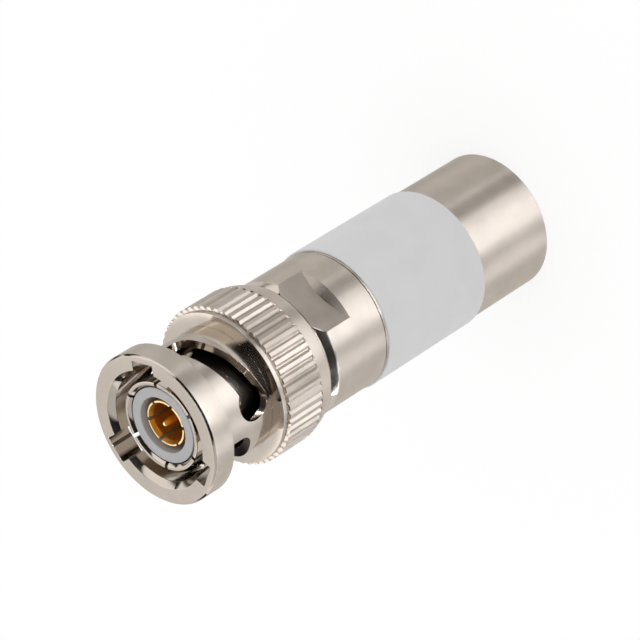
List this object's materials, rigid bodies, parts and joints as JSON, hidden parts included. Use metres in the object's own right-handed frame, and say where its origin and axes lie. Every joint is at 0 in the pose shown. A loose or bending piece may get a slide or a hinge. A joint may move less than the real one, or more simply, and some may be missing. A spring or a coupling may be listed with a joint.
{
  "type": "triaxial terminator",
  "caption": "Cylindrical triaxial terminator with a spring-loaded bayonet coupling nut, a knurled grip and a plain barrel that encloses the load resistor.",
  "frame": {"origin": "centre of the flat rear end face, on the connector's axis", "axes": "+Z along the axis towards the mating end, +X square to one wrench flat"},
  "size_m": [0.0144, 0.0144, 0.0434],
  "materials": {
    "body_nickel": "bright nickel plate over brass",
    "shell_nickel": "bright nickel plate over brass",
    "cap_nickel": "bright nickel plate over brass",
    "nut_nickel": "bright nickel plate over brass",
    "contact_nickel": "bright nickel plate over spring bronze",
    "contact_gold": "gold plate",
    "pin_gold": "gold plate",
    "shield_brass": "plain turned brass",
    "washer_steel": "spring steel",
    "tinned_metal": "tin plate",
    "insulator_white": "turned white fluoropolymer",
    "bush_plastic": "natural plastic",
    "gasket_silicone": "matt silicone",
    "label_vinyl": "matt film",
    "resistor_coat": "lacquered ceramic",
    "sleeve_black": "shrink sleeve"
  },
  "bodies": {
    "plug": {"plug_body": "body_nickel", "rear_shell": "shell_nickel", "end_cap": "cap_nickel", "label": "label_vinyl", "outer_contact": "contact_nickel", "gasket": "gasket_silicone", "outer_insulator": "insulator_white", "insulator_bush": "bush_plastic", "intermediate_contact": "contact_gold", "inner_insulator": "insulator_white", "center_pin": "pin_gold", "inner_shield": "shield_brass", "inner_shield_cap": "shield_brass", "shield_insulator": "insulator_white", "rear_spacer": "bush_plastic", "resistor_body": "resistor_coat", "resistor_cap_front": "tinned_metal", "resistor_cap_rear": "tinned_metal", "resistor_lead_front": "tinned_metal", "resistor_lead_rear": "tinned_metal", "resistor_sleeve": "sleeve_black", "solder_joint": "tinned_metal", "wave_washer_front": "washer_steel", "wave_washer_rear": "washer_steel"},
    "washer": {"thrust_washer": "washer_steel"},
    "nut": {"coupling_nut": "nut_nickel"}
  },
  "joints": [
    {"name": "nut_slide", "type": "slide", "parent": "plug", "child": "washer", "axis": [0, 0, 1], "range_m": [0, 0.0006], "stiffness_N_per_m": 1200, "springref_m": -0.0005, "deforming": ["wave_washer_front", "wave_washer_rear"]},
    {"name": "nut_spin", "type": "hinge", "parent": "washer", "child": "nut", "pos_m": [0, 0, 0.036], "axis": [0, 0, 1], "continuous": true}
  ]
}
